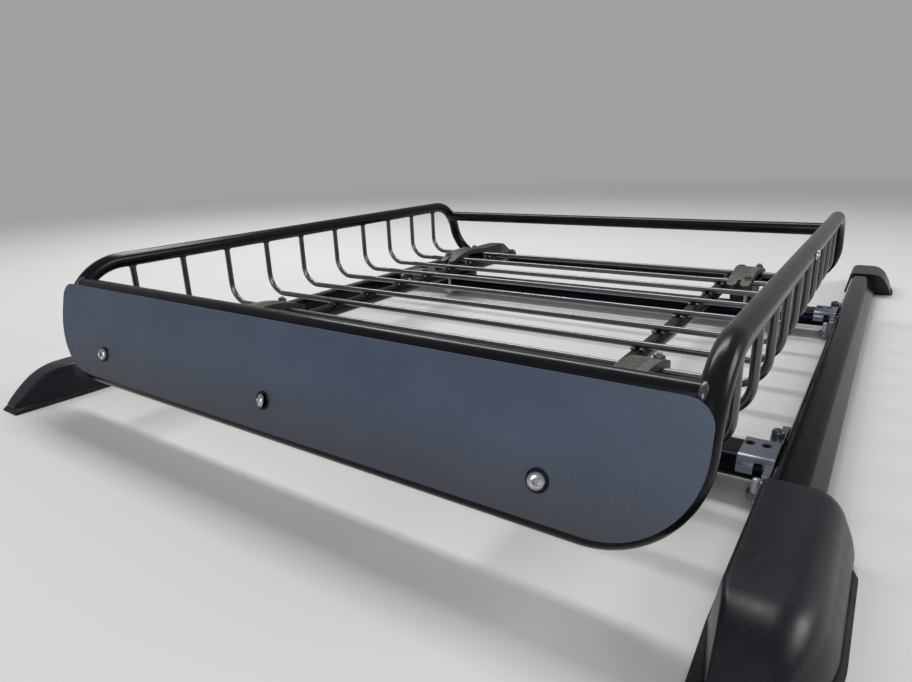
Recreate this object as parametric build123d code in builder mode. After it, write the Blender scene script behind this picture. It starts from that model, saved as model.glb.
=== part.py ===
"""Roof rack with cargo basket: a steel tube basket on two crossbars between raised side rails.

Units are millimetres. +X is the vehicle's left, -Y its front, +Z is up.
z = 0 is the roof skin under the rail covers, x = 0 the mid plane, y = 0 the rails' mid length.
"""
import os
from math import cos, radians, sin, tan

from build123d import *

os.makedirs("parts", exist_ok=True)

# Basket tubes
BASKET_WIDTH = 986.0
TUBE_D = 25.0
WIRE_D = 10.0
RIM_Z = 211.0
CROSS_TUBE_HALF_SPREAD = 511.0
CROSS_TUBE_DROP = 30.0
CROSS_TUBE_BITE = 4.0
END_MEMBER_Z = 60.0
HOOP_SETBACK = 3.0
HOOP_LEAN_DEG = 14.3
RIM_BEND_R = 88.0
JOINT_GAP = 0.6

# Floor wires, counted from the middle joint outward, the same in both halves
WIRE_FIRST = 51.0
WIRE_END_GAP = 84.0
WIRES_PER_HALF = 5
FLOOR_WIRE_Z = 95.0
WIRE_BEND_R = 38.0
FLOOR_TUBE_INSET = 192.0

# Fairing plate, in its own leaning plane: s runs down the plate from the rim's level
FAIRING_EDGE_INSET = 4.0
FAIRING_TOP_S = 26.0
FAIRING_BOTTOM_S = 156.0
FAIRING_THICK = 3.0
FAIRING_TOP_R = 22.0
FAIRING_BOTTOM_R = 88.0
FAIRING_BOLT_INSET = 133.0
FAIRING_BOLT_S = 120.0
FAIRING_BOLT_R = 3.3
CLIP_WIDTH = 26.0
CLIP_LIP = 11.0
CLIP_BACK = 2.0
CLIP_LIFT = 4.0

# Crossbars
CROSSBAR_WIDTH = 58.0
CROSSBAR_HEIGHT = 28.0
CROSSBAR_Z = 34.0
CROSSBAR_HALF_LENGTH = 497.0
CROSSBAR_WALL = 2.5
FRONT_CROSSBAR_SETBACK = 339.5

# Side rails and their end covers
BAR_END_GAP = 11.0
RAIL_WIDTH = 49.0
RAIL_TOP_Z = 51.0
RAIL_BOTTOM_Z = 15.0
RAIL_EDGE_R = 4.0
RAIL_INNER_TOP_R = 9.0
RAIL_OUTER_TOP_R = 14.0
RAIL_HALF_LENGTH = 785.0
COVER_LENGTH = 272.0
REAR_COVER_LENGTH = 200.0
COVER_SLANT = 26.0
COVER_INNER_FLARE = 11.0
COVER_OUTER_FLARE = 30.0
COVER_INNER_DRAFT = 8.0
COVER_OUTER_DRAFT = 20.0
COVER_FLANK_BULGE = 4.0
COVER_INNER_R = 6.0
COVER_OUTER_R = 16.0
COVER_LIP = 3.0
TOE_WALL = 3.0
TOE_NARROWING = 34.0
TOE_CURVE = 108.0
RAMP_DEG = 34.0
RAMP_BLEND_R = 77.0
GASKET_H = 6.5
GASKET_EDGE = 5.0
GASKET_INNER_EDGE = 2.0
GASKET_TOP_EDGE = 1.2
GASKET_HEEL = 12.0
STUD_HOLE_R = 4.25
STUD_HOLE_DEPTH = 20.0
STUD_INSET = 33.0
# Distances of the two stud holes from the cover's toe
STUD_HOLES = {"front": (110.0, 190.0), "rear": (70.0, 120.0)}

# Crossbar end brackets
BRACKET_GRIP = 25.0
BRACKET_HALF_DEPTH = 32.0
BRACKET_SKIRT_Z = 33.0
BRACKET_EDGE_R = 13.0
JAW_THICK = 7.0
JAW_GAP = 0.4
JAW_TOP_Z = 46.0
JAW_BOTTOM_Z = 11.0
JAW_END_R = 8.0
JAW_REACH_OUT = 60.0
JAW_REACH_IN = 88.0
FOOT_BOTTOM_Z = 3.0
FOOT_WIDTH = 44.0
FOOT_HALF_DEPTH = 26.0
FOOT_SHIFT = 2.0
SCREW_POCKET_R = 5.6
SCREW_POCKET_DEPTH = 2.2
SCREW_PITCH = 16.5
SCREW_SHIFT = 7.0
NOTCH_R = 6.0
NOTCH_TOP_Z = 48.0
NOTCH_DEPTH = 7.0
EAR_X_INSET = 13.5
EAR_Y = 36.0
EAR_R = 9.0
EAR_TOP_Z = 17.0
EAR_H = 6.0
CONE_R = 5.8
CONE_H = 16.0
CONE_TAPER_DEG = 5.0
CONE_TOP_R = 3.0
CONE_SCREW_R = 3.0
CONE_SCREW_DROP = 7.0
LUG_Y = 46.0
LUG_R = 7.5
LUG_H = 10.0
KNOB_R = 7.0
KNOB_H = 10.0
KNOB_TOP_R = 4.5
KNOB_STEM_R = 4.0
KNOB_STEM_DEPTH = 7.0

# Basket clamps
SADDLE_OUT = 41.0
SADDLE_HALF_WIDTH = 21.0
SADDLE_TIP = 28.0
SADDLE_RISE = 14.0
SADDLE_DROOP = 18.0
SADDLE_THICK = 11.0
SADDLE_SHIFT = 15.5
SEAT_GAP = 0.3
FINGER_SLOT_W = 7.0
FINGER_SLOT_L = 20.0
CLAMP_BOLT_D = 8.0
CLAMP_BOLT_GAP = 5.0
CLAMP_BOLT_SHIFT = 12.0
CLAMP_NUT_R = 6.5
CLAMP_NUT_H = 6.0
CRADLE_HALF_WIDTH = 20.0
CRADLE_CLEARANCE = 3.0
CRADLE_FOOT_HALF = 24.0
CRADLE_SKIRT = 5.0
STRAP_THICK = 6.0
STRAP_WIDTH = 30.0
STRAP_TIP = 13.0

# Length added to a cutting body so that it passes right through
CUT_REACH = 80.0

TUBE_R = TUBE_D / 2
SIDE_X = BASKET_WIDTH / 2 - TUBE_R
FLOOR_TUBE_X = BASKET_WIDTH / 2 - FLOOR_TUBE_INSET
WIRE_PITCH = (CROSS_TUBE_HALF_SPREAD - WIRE_END_GAP - WIRE_FIRST) / (WIRES_PER_HALF - 1)
LEAN = radians(HOOP_LEAN_DEG)
SIDES = {"left": 1, "right": -1}
ENDS = {"front": -1, "rear": 1}
CORNERS = [(end, side) for end in ENDS for side in SIDES]

# The hoop plane crosses the rim's level here, measured from the basket's middle
RIM_TANGENT = RIM_BEND_R * tan(radians(90 - HOOP_LEAN_DEG) / 2)
HOOP_ROOT = CROSS_TUBE_HALF_SPREAD + HOOP_SETBACK
END_MEMBER_S = (RIM_Z - END_MEMBER_Z) / cos(LEAN)
END_MEMBER_Y = HOOP_ROOT + END_MEMBER_S * sin(LEAN)
# The inward bend takes up all of the leg below the rim's bend
HOOP_BEND_R = END_MEMBER_S - RIM_TANGENT
FLOOR_TUBE_Z = FLOOR_WIRE_Z - WIRE_D / 2 - TUBE_R

# The rails follow the crossbars' ends, the crossbars follow the rails' length
RAIL_IN_X = CROSSBAR_HALF_LENGTH + BAR_END_GAP
RAIL_OUT_X = RAIL_IN_X + RAIL_WIDTH
STUD_X = RAIL_IN_X + STUD_INSET

# Each clamp holds two wires: their middle, measured from the basket's middle
FRONT_CLAMP_OFFSET = -(WIRE_FIRST + 2.5 * WIRE_PITCH)
REAR_CLAMP_OFFSET = WIRE_FIRST + 3.5 * WIRE_PITCH
FRONT_CROSSBAR_Y = FRONT_CROSSBAR_SETBACK - RAIL_HALF_LENGTH
BASKET_CENTRE_Y = FRONT_CROSSBAR_Y + SADDLE_SHIFT - FRONT_CLAMP_OFFSET
CLAMPS = {"front": BASKET_CENTRE_Y + FRONT_CLAMP_OFFSET, "rear": BASKET_CENTRE_Y + REAR_CLAMP_OFFSET}
CROSSBARS = {end: y - SADDLE_SHIFT for end, y in CLAMPS.items()}


def hoop_point(end, side, inward, s):
    """Point in the leaning hoop plane: inward from the side tube's axis, s down from the rim."""
    x = SIDES[side] * (SIDE_X - inward)
    y = BASKET_CENTRE_Y + ENDS[end] * (HOOP_ROOT + s * sin(LEAN))
    return Vector(x, y, RIM_Z - s * cos(LEAN))


def save(block, node):
    """Label the finished piece and write it as one STEP file."""
    block.part.label = node
    export_step(block.part, f"parts/{node}.step")


# Side tubes: four straight halves that meet at the middle joint
straight_end = HOOP_ROOT - RIM_TANGENT
for end, side in CORNERS:
    start_y = BASKET_CENTRE_Y + ENDS[end] * JOINT_GAP / 2
    with BuildPart() as side_tube:
        with BuildSketch(Plane((SIDES[side] * SIDE_X, start_y, RIM_Z), z_dir=(0, ENDS[end], 0))):
            Circle(TUBE_R)
        extrude(amount=straight_end - JOINT_GAP / 2)
    save(side_tube, f"side_tube_{end}_{side}")

# Corner bends: down out of the rim, then inward to the end member
corner_parts = {}
for end, side in CORNERS:
    direction = Vector(0, ENDS[end], 0)
    x = SIDES[side] * SIDE_X
    y_start = BASKET_CENTRE_Y + ENDS[end] * straight_end
    turn = radians(90 - HOOP_LEAN_DEG)
    centre_z = RIM_Z - RIM_BEND_R
    bend_mid = Vector(x, y_start + ENDS[end] * RIM_BEND_R * sin(turn / 2), centre_z + RIM_BEND_R * cos(turn / 2))
    leg_top = hoop_point(end, side, 0, RIM_TANGENT)
    reach = HOOP_BEND_R * (1 - cos(radians(45)))
    inward_mid = hoop_point(end, side, reach, END_MEMBER_S - reach)
    inward_end = hoop_point(end, side, HOOP_BEND_R, END_MEMBER_S)
    with BuildPart() as corner:
        with BuildLine():
            ThreePointArc((x, y_start, RIM_Z), bend_mid, leg_top)
            ThreePointArc(leg_top, inward_mid, inward_end)
        with BuildSketch(Plane((x, y_start, RIM_Z), z_dir=direction)):
            Circle(TUBE_R)
        sweep()
    save(corner, f"corner_{end}_{side}")
    corner_parts[end, side] = corner.part

# End members: the straight lower tubes of the two hoops
for end in ENDS:
    y = BASKET_CENTRE_Y + ENDS[end] * END_MEMBER_Y
    with BuildPart() as end_member:
        with BuildSketch(Plane((0, y, END_MEMBER_Z), z_dir=(1, 0, 0))):
            Circle(TUBE_R)
        extrude(amount=SIDE_X - HOOP_BEND_R, both=True)
    save(end_member, f"end_member_{end}")

# Upper cross tubes, coped into the corner bends
for end in ENDS:
    y = BASKET_CENTRE_Y + ENDS[end] * CROSS_TUBE_HALF_SPREAD
    with BuildPart() as cross_tube:
        with BuildSketch(Plane((0, y, RIM_Z - CROSS_TUBE_DROP), z_dir=(1, 0, 0))):
            Circle(TUBE_R)
        extrude(amount=SIDE_X - CROSS_TUBE_BITE, both=True)
        for side in SIDES:
            add(corner_parts[end, side], mode=Mode.SUBTRACT)
    save(cross_tube, f"cross_tube_{end}")

# Floor tubes under the wires, coped to the end members
for side, sign in SIDES.items():
    x = sign * FLOOR_TUBE_X
    with BuildPart() as floor_tube:
        with BuildSketch(Plane((x, BASKET_CENTRE_Y, FLOOR_TUBE_Z), z_dir=(0, 1, 0))):
            Circle(TUBE_R)
        extrude(amount=END_MEMBER_Y, both=True)
        for end in ENDS.values():
            with Locations((x, BASKET_CENTRE_Y + end * END_MEMBER_Y, END_MEMBER_Z)):
                Cylinder(TUBE_R, CUT_REACH, rotation=(0, 90, 0), mode=Mode.SUBTRACT)
            with Locations((x, BASKET_CENTRE_Y + end * (END_MEMBER_Y + CUT_REACH / 2), END_MEMBER_Z)):
                Box(CUT_REACH, CUT_REACH, CUT_REACH, mode=Mode.SUBTRACT)
    save(floor_tube, f"floor_tube_{side}")

# Basket wires: one bent rod each, hung between the two side tubes
wire_offsets = [WIRE_FIRST + WIRE_PITCH * k for k in range(WIRES_PER_HALF)]
WIRE_ROWS = [(end, number + 1, ENDS[end] * offset) for end in ENDS for number, offset in enumerate(wire_offsets)]
for end, number, offset in WIRE_ROWS:
    y = BASKET_CENTRE_Y + offset
    with BuildPart() as wire:
        with BuildLine(Plane((0, y, 0), x_dir=(1, 0, 0), z_dir=(0, -1, 0))):
            FilletPolyline(
                (-SIDE_X, RIM_Z),
                (-SIDE_X, FLOOR_WIRE_Z),
                (SIDE_X, FLOOR_WIRE_Z),
                (SIDE_X, RIM_Z),
                radius=WIRE_BEND_R,
            )
        with BuildSketch(Plane((-SIDE_X, y, RIM_Z), z_dir=(0, 0, -1))):
            Circle(WIRE_D / 2)
        sweep()
        with Locations((-SIDE_X, y, RIM_Z), (SIDE_X, y, RIM_Z)):
            Cylinder(TUBE_R, CUT_REACH, rotation=(90, 0, 0), mode=Mode.SUBTRACT)
    save(wire, f"wire_{end}_{number}")

# Fairing plate against the front hoop, leaning with it
fairing_normal = Vector(0, -cos(LEAN), sin(LEAN))
fairing_back = hoop_point("front", "left", SIDE_X, 0) + fairing_normal * TUBE_R
fairing_plane = Plane(fairing_back, x_dir=(1, 0, 0), z_dir=fairing_normal)
fairing_half_width = BASKET_WIDTH / 2 - FAIRING_EDGE_INSET
fairing_bolt_x = fairing_half_width - FAIRING_BOLT_INSET
plate_height = FAIRING_BOTTOM_S - FAIRING_TOP_S
plate_mid_s = (FAIRING_BOTTOM_S + FAIRING_TOP_S) / 2
with BuildPart() as fairing:
    with BuildSketch(fairing_plane) as outline:
        with Locations((0, -plate_mid_s)):
            Rectangle(2 * fairing_half_width, plate_height)
        fillet(outline.vertices().group_by(Axis.Y)[-1], FAIRING_TOP_R)
        fillet(outline.vertices().group_by(Axis.Y)[0], FAIRING_BOTTOM_R)
        with Locations(*[(k * fairing_bolt_x, -FAIRING_BOLT_S) for k in (-1, 0, 1)]):
            Circle(FAIRING_BOLT_R, mode=Mode.SUBTRACT)
    extrude(amount=FAIRING_THICK)
save(fairing, "fairing_plate")

# Fairing clips: hooks behind the plate that sit over the end member
CLIPS = [("left", 1), ("middle", 0), ("right", -1)]
clip_top_s = FAIRING_BOLT_S - CLIP_LIP
clip_end_s = END_MEMBER_S - CLIP_LIFT
clip_depth = TUBE_D + CLIP_BACK
for name, place in CLIPS:
    x = place * fairing_bolt_x
    with BuildPart() as clip:
        with BuildSketch(fairing_plane):
            with Locations((x, -(clip_top_s + clip_end_s) / 2)):
                Rectangle(CLIP_WIDTH, clip_end_s - clip_top_s)
        extrude(amount=-clip_depth)
        with Locations((x, BASKET_CENTRE_Y - END_MEMBER_Y, END_MEMBER_Z)):
            Cylinder(TUBE_R, CUT_REACH, rotation=(0, 90, 0), mode=Mode.SUBTRACT)
        with BuildSketch(fairing_plane):
            with Locations((x, -FAIRING_BOLT_S)):
                Circle(FAIRING_BOLT_R)
        extrude(amount=-clip_depth, mode=Mode.SUBTRACT)
    save(clip, f"fairing_clip_{name}")

# Crossbars: oval hollow bars across the car
for end, y in CROSSBARS.items():
    with BuildPart() as crossbar:
        with BuildSketch(Plane((0, y, CROSSBAR_Z), x_dir=(0, 1, 0), z_dir=(1, 0, 0))):
            SlotOverall(CROSSBAR_WIDTH, CROSSBAR_HEIGHT)
            SlotOverall(CROSSBAR_WIDTH - 2 * CROSSBAR_WALL, CROSSBAR_HEIGHT - 2 * CROSSBAR_WALL, mode=Mode.SUBTRACT)
        extrude(amount=CROSSBAR_HALF_LENGTH, both=True)
    save(crossbar, f"crossbar_{end}")

# End brackets: a cap over the bar's end, a jaw along the rail with a lug behind the bar,
# a foot under it and an ear in front of the bar; front and rear ones are alike
bracket_in_x = CROSSBAR_HALF_LENGTH - BRACKET_GRIP
jaw_out_x = RAIL_IN_X - JAW_GAP
jaw_in_x = jaw_out_x - JAW_THICK
ear_x = RAIL_IN_X - EAR_X_INSET
foot_x = RAIL_IN_X + FOOT_SHIFT
lug_x = jaw_out_x - LUG_R
screw_xs = [(bracket_in_x + jaw_in_x + k * SCREW_PITCH) / 2 for k in (-1, 1)]
for end, side in CORNERS:
    sign = SIDES[side]
    y = CROSSBARS[end]
    with BuildPart() as bracket:
        with BuildSketch(Plane((sign * bracket_in_x, y, 0), x_dir=(0, 1, 0), z_dir=(1, 0, 0))) as cap:
            with Locations((0, (RAIL_TOP_Z + BRACKET_SKIRT_Z) / 2)):
                Rectangle(2 * BRACKET_HALF_DEPTH, RAIL_TOP_Z - BRACKET_SKIRT_Z)
            fillet(cap.vertices().group_by(Axis.Y)[-1], BRACKET_EDGE_R)
        extrude(amount=sign * (jaw_out_x - bracket_in_x))
        with BuildSketch(Plane((sign * jaw_in_x, y, 0), x_dir=(0, 1, 0), z_dir=(1, 0, 0))) as jaw:
            with Locations(((JAW_REACH_IN - JAW_REACH_OUT) / 2, (JAW_TOP_Z + JAW_BOTTOM_Z) / 2)):
                RectangleRounded(JAW_REACH_OUT + JAW_REACH_IN, JAW_TOP_Z - JAW_BOTTOM_Z, JAW_END_R)
        extrude(amount=sign * JAW_THICK)
        with BuildSketch(Plane((0, y, EAR_TOP_Z))):
            with Locations((sign * (ear_x + jaw_out_x) / 2, -EAR_Y)):
                Rectangle(jaw_out_x - ear_x, 2 * EAR_R)
            with Locations((sign * ear_x, -EAR_Y)):
                Circle(EAR_R)
        extrude(amount=-EAR_H)
        with BuildSketch(Plane((sign * lug_x, y + LUG_Y, JAW_TOP_Z))):
            Circle(LUG_R)
        extrude(amount=-LUG_H)
        with BuildSketch(Plane((sign * foot_x, y, FOOT_BOTTOM_Z))):
            Rectangle(FOOT_WIDTH, 2 * FOOT_HALF_DEPTH)
        extrude(amount=RAIL_BOTTOM_Z - JAW_GAP - FOOT_BOTTOM_Z)
        with Locations((sign * ear_x, y - EAR_Y, EAR_TOP_Z - EAR_H / 2)):
            Cylinder(CONE_SCREW_R, EAR_H, mode=Mode.SUBTRACT)
        with Locations((sign * lug_x, y + LUG_Y, JAW_TOP_Z - KNOB_STEM_DEPTH / 2)):
            Cylinder(KNOB_STEM_R, KNOB_STEM_DEPTH, mode=Mode.SUBTRACT)
        with BuildSketch(Plane((sign * bracket_in_x, y, CROSSBAR_Z), x_dir=(0, 1, 0), z_dir=(1, 0, 0))):
            SlotOverall(CROSSBAR_WIDTH, CROSSBAR_HEIGHT)
        extrude(amount=sign * BRACKET_GRIP, mode=Mode.SUBTRACT)
        with BuildSketch(Plane((0, y - BRACKET_HALF_DEPTH, 0), x_dir=(1, 0, 0), z_dir=(0, -1, 0))):
            with Locations((sign * ear_x, NOTCH_TOP_Z - NOTCH_R)):
                Circle(NOTCH_R)
            with Locations((sign * ear_x, (NOTCH_TOP_Z - NOTCH_R + EAR_TOP_Z) / 2)):
                Rectangle(2 * NOTCH_R, NOTCH_TOP_Z - NOTCH_R - EAR_TOP_Z)
        extrude(amount=-NOTCH_DEPTH, mode=Mode.SUBTRACT)
        with BuildSketch(Plane((0, y + SCREW_SHIFT, RAIL_TOP_Z))):
            with Locations(*[(sign * screw_x, 0) for screw_x in screw_xs]):
                Circle(SCREW_POCKET_R)
        extrude(amount=-SCREW_POCKET_DEPTH, mode=Mode.SUBTRACT)
    save(bracket, f"end_bracket_{end}_{side}")

# Bracket knobs: the cone on the ear with its screw, and the domed knob on the lug
for end, side in CORNERS:
    cone_place = (SIDES[side] * ear_x, CROSSBARS[end] - EAR_Y)
    knob_place = (SIDES[side] * lug_x, CROSSBARS[end] + LUG_Y)
    with BuildPart() as knobs:
        with BuildSketch(Plane((*cone_place, EAR_TOP_Z))):
            Circle(CONE_R)
        extrude(amount=CONE_H, taper=CONE_TAPER_DEG)
        fillet(knobs.edges().group_by(Axis.Z)[-1], CONE_TOP_R)
        with BuildSketch(Plane((*cone_place, EAR_TOP_Z - EAR_H - CONE_SCREW_DROP))):
            Circle(CONE_SCREW_R)
        extrude(amount=EAR_H + CONE_SCREW_DROP)
        with BuildSketch(Plane((*knob_place, JAW_TOP_Z))):
            Circle(KNOB_R)
        extrude(amount=KNOB_H)
        fillet(knobs.edges().group_by(Axis.Z)[-1], KNOB_TOP_R)
        with BuildSketch(Plane((*knob_place, JAW_TOP_Z - KNOB_STEM_DEPTH))):
            Circle(KNOB_STEM_R)
        extrude(amount=KNOB_STEM_DEPTH)
    save(knobs, f"bracket_knobs_{end}_{side}")

# Side rails: a sloped outer flank, cut on a slant where the covers start
# Columns: distance from the rail's inner face, height above its bottom, corner radius
rail_height = RAIL_TOP_Z - RAIL_BOTTOM_Z
RAIL_PROFILE = [
    (0, 6, RAIL_EDGE_R),
    (0, rail_height, RAIL_INNER_TOP_R),
    (31, rail_height, RAIL_OUTER_TOP_R),
    (RAIL_WIDTH, 14, RAIL_EDGE_R),
    (RAIL_WIDTH, 6, RAIL_EDGE_R),
    (RAIL_WIDTH - 7, 0, RAIL_EDGE_R),
    (6, 0, RAIL_EDGE_R),
]
COVER_TOP_Z = RAIL_TOP_Z + COVER_LIP
COVER_LENGTHS = {"front": COVER_LENGTH, "rear": REAR_COVER_LENGTH}
front_edge_y = COVER_LENGTH - RAIL_HALF_LENGTH
rear_edge_y = RAIL_HALF_LENGTH - REAR_COVER_LENGTH
# Each cover ends on a slanted plane: its top edge reaches further along the rail than its foot
slant = COVER_SLANT / COVER_TOP_Z
cut_planes = {
    "front": Plane((0, front_edge_y, COVER_TOP_Z), x_dir=(1, 0, 0), z_dir=(0, 1, -slant)),
    "rear": Plane((0, rear_edge_y, COVER_TOP_Z), x_dir=(1, 0, 0), z_dir=(0, -1, -slant)),
}
for side, sign in SIDES.items():
    rail_corners = [((sign * (RAIL_IN_X + px), RAIL_BOTTOM_Z + pz), radius) for px, pz, radius in RAIL_PROFILE]
    with BuildPart() as rail:
        rail_start = Plane((0, front_edge_y - CUT_REACH, 0), x_dir=(1, 0, 0), z_dir=(0, -1, 0))
        with BuildSketch(rail_start) as rail_section:
            with BuildLine():
                Polyline(*[place for place, radius in rail_corners], close=True)
            make_face()
            for place, radius in rail_corners:
                fillet(rail_section.vertices().sort_by_distance((*place, 0))[0], radius)
        extrude(amount=-(rear_edge_y - front_edge_y + 2 * CUT_REACH))
        for plane in cut_planes.values():
            split(bisect_by=plane, keep=Keep.TOP)
    save(rail, f"side_rail_{side}")

# End covers: the rail's section swollen to a foot, cut to a pointed toe and a ramp
# Gaskets: the same outline, wider all round and sloped, stopped short of the cover's heel
cover_in_x = RAIL_IN_X - COVER_INNER_FLARE
cover_out_x = RAIL_OUT_X + COVER_OUTER_FLARE
toe_half = (cover_out_x - cover_in_x) / 2 - TOE_NARROWING
toe_mid_x = (cover_in_x + cover_out_x) / 2
ramp = radians(RAMP_DEG)
ramp_rise = COVER_TOP_Z - GASKET_H - TOE_WALL
# The ramp ends in an arc that runs level into the top
blend_rise = RAMP_BLEND_R * (1 - cos(ramp))
blend_start = (ramp_rise - blend_rise) / tan(ramp)
blend_end = blend_start + RAMP_BLEND_R * sin(ramp)
blend_mid_y = blend_end - RAMP_BLEND_R * sin(ramp / 2)
blend_mid_z = COVER_TOP_Z - RAMP_BLEND_R * (1 - cos(ramp / 2))


def toe_outline(end, side, inner_edge, outer_edge, length):
    """Plan outline from the pointed toe back to the given length, grown by the two edges."""
    sign = SIDES[side]
    out = ENDS[end]
    toe_y = out * (RAIL_HALF_LENGTH - GASKET_EDGE + outer_edge)
    back_y = out * (RAIL_HALF_LENGTH - GASKET_EDGE - TOE_CURVE)
    stop_y = out * (RAIL_HALF_LENGTH - length)
    foot_in, foot_out = cover_in_x - inner_edge, cover_out_x + outer_edge
    with BuildSketch(Plane.XY) as outline:
        with BuildLine():
            inner = TangentArc(
                (sign * foot_in, back_y), (sign * (toe_mid_x - toe_half), toe_y), tangent=(0, out)
            )
            tip = Line(inner @ 1, (sign * (toe_mid_x + toe_half), toe_y))
            outer = TangentArc((sign * foot_out, back_y), tip @ 1, tangent=(0, out))
            Polyline(inner @ 0, (sign * foot_in, stop_y), (sign * foot_out, stop_y), outer @ 0)
        make_face()
    return outline.sketch


inner_top = (cover_in_x + COVER_INNER_DRAFT, COVER_TOP_Z)
outer_top = (cover_out_x - COVER_OUTER_DRAFT, COVER_TOP_Z)
# The outer flank is an arc that stands out from the straight line between foot and top
flank_mid = (cover_out_x - COVER_OUTER_DRAFT / 2 + COVER_FLANK_BULGE, (GASKET_H + COVER_TOP_Z) / 2)
for end, side in CORNERS:
    sign = SIDES[side]
    out = ENDS[end]
    length = COVER_LENGTHS[end]
    toe_y = out * (RAIL_HALF_LENGTH - GASKET_EDGE)
    stud_places = [(sign * STUD_X, out * (RAIL_HALF_LENGTH - hole), 0) for hole in STUD_HOLES[end]]
    cover_outline = toe_outline(end, side, 0, 0, length)
    with BuildPart() as cover:
        with BuildSketch(Plane((0, toe_y, 0), x_dir=(1, 0, 0), z_dir=(0, -1, 0))) as section:
            with BuildLine():
                foot_out = (sign * cover_out_x, GASKET_H)
                top_out = (sign * outer_top[0], outer_top[1])
                Polyline(foot_out, (sign * cover_in_x, GASKET_H), (sign * inner_top[0], inner_top[1]), top_out)
                ThreePointArc(top_out, (sign * flank_mid[0], flank_mid[1]), foot_out)
            make_face()
            for (corner_x, corner_z), radius in ((inner_top, COVER_INNER_R), (outer_top, COVER_OUTER_R)):
                fillet(section.vertices().sort_by_distance((sign * corner_x, corner_z, 0))[0], radius)
        extrude(amount=out * length)
        extrude(cover_outline, COVER_TOP_Z, mode=Mode.INTERSECT)
        with BuildSketch(Plane((0, toe_y, 0), x_dir=(0, -out, 0), z_dir=(-out, 0, 0))):
            with BuildLine():
                Polyline(
                    (blend_start, COVER_TOP_Z - blend_rise),
                    (0, GASKET_H + TOE_WALL),
                    (0, GASKET_H),
                    (length, GASKET_H),
                    (length, COVER_TOP_Z),
                    (blend_end, COVER_TOP_Z),
                )
                ThreePointArc(
                    (blend_end, COVER_TOP_Z), (blend_mid_y, blend_mid_z), (blend_start, COVER_TOP_Z - blend_rise)
                )
            make_face()
        extrude(amount=cover_out_x + CUT_REACH, both=True, mode=Mode.INTERSECT)
        split(bisect_by=cut_planes[end], keep=Keep.BOTTOM)
        with Locations(*stud_places):
            Cylinder(STUD_HOLE_R, 2 * STUD_HOLE_DEPTH, mode=Mode.SUBTRACT)
    save(cover, f"end_cover_{end}_{side}")
    gasket_length = length - COVER_SLANT - GASKET_HEEL
    gasket_foot = toe_outline(end, side, GASKET_INNER_EDGE, GASKET_EDGE, gasket_length)
    gasket_top = toe_outline(end, side, GASKET_TOP_EDGE, GASKET_TOP_EDGE, gasket_length)
    with BuildPart() as gasket:
        loft([gasket_foot.face(), gasket_top.moved(Location((0, 0, GASKET_H))).face()], ruled=True)
        with Locations(*stud_places):
            Cylinder(STUD_HOLE_R, 2 * STUD_HOLE_DEPTH, mode=Mode.SUBTRACT)
    save(gasket, f"cover_gasket_{end}_{side}")

# Basket clamps: a forked saddle over two wires, a cradle under them, a strap below the bar
saddle_x = FLOOR_TUBE_X + SADDLE_OUT
wire_top = FLOOR_WIRE_Z + WIRE_D / 2
saddle_top = wire_top + SADDLE_RISE
clamp_bolt_y = WIRE_PITCH / 2 + WIRE_D / 2 + CLAMP_BOLT_GAP + CLAMP_BOLT_D / 2
saddle_half_length = clamp_bolt_y + SADDLE_TIP
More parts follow.
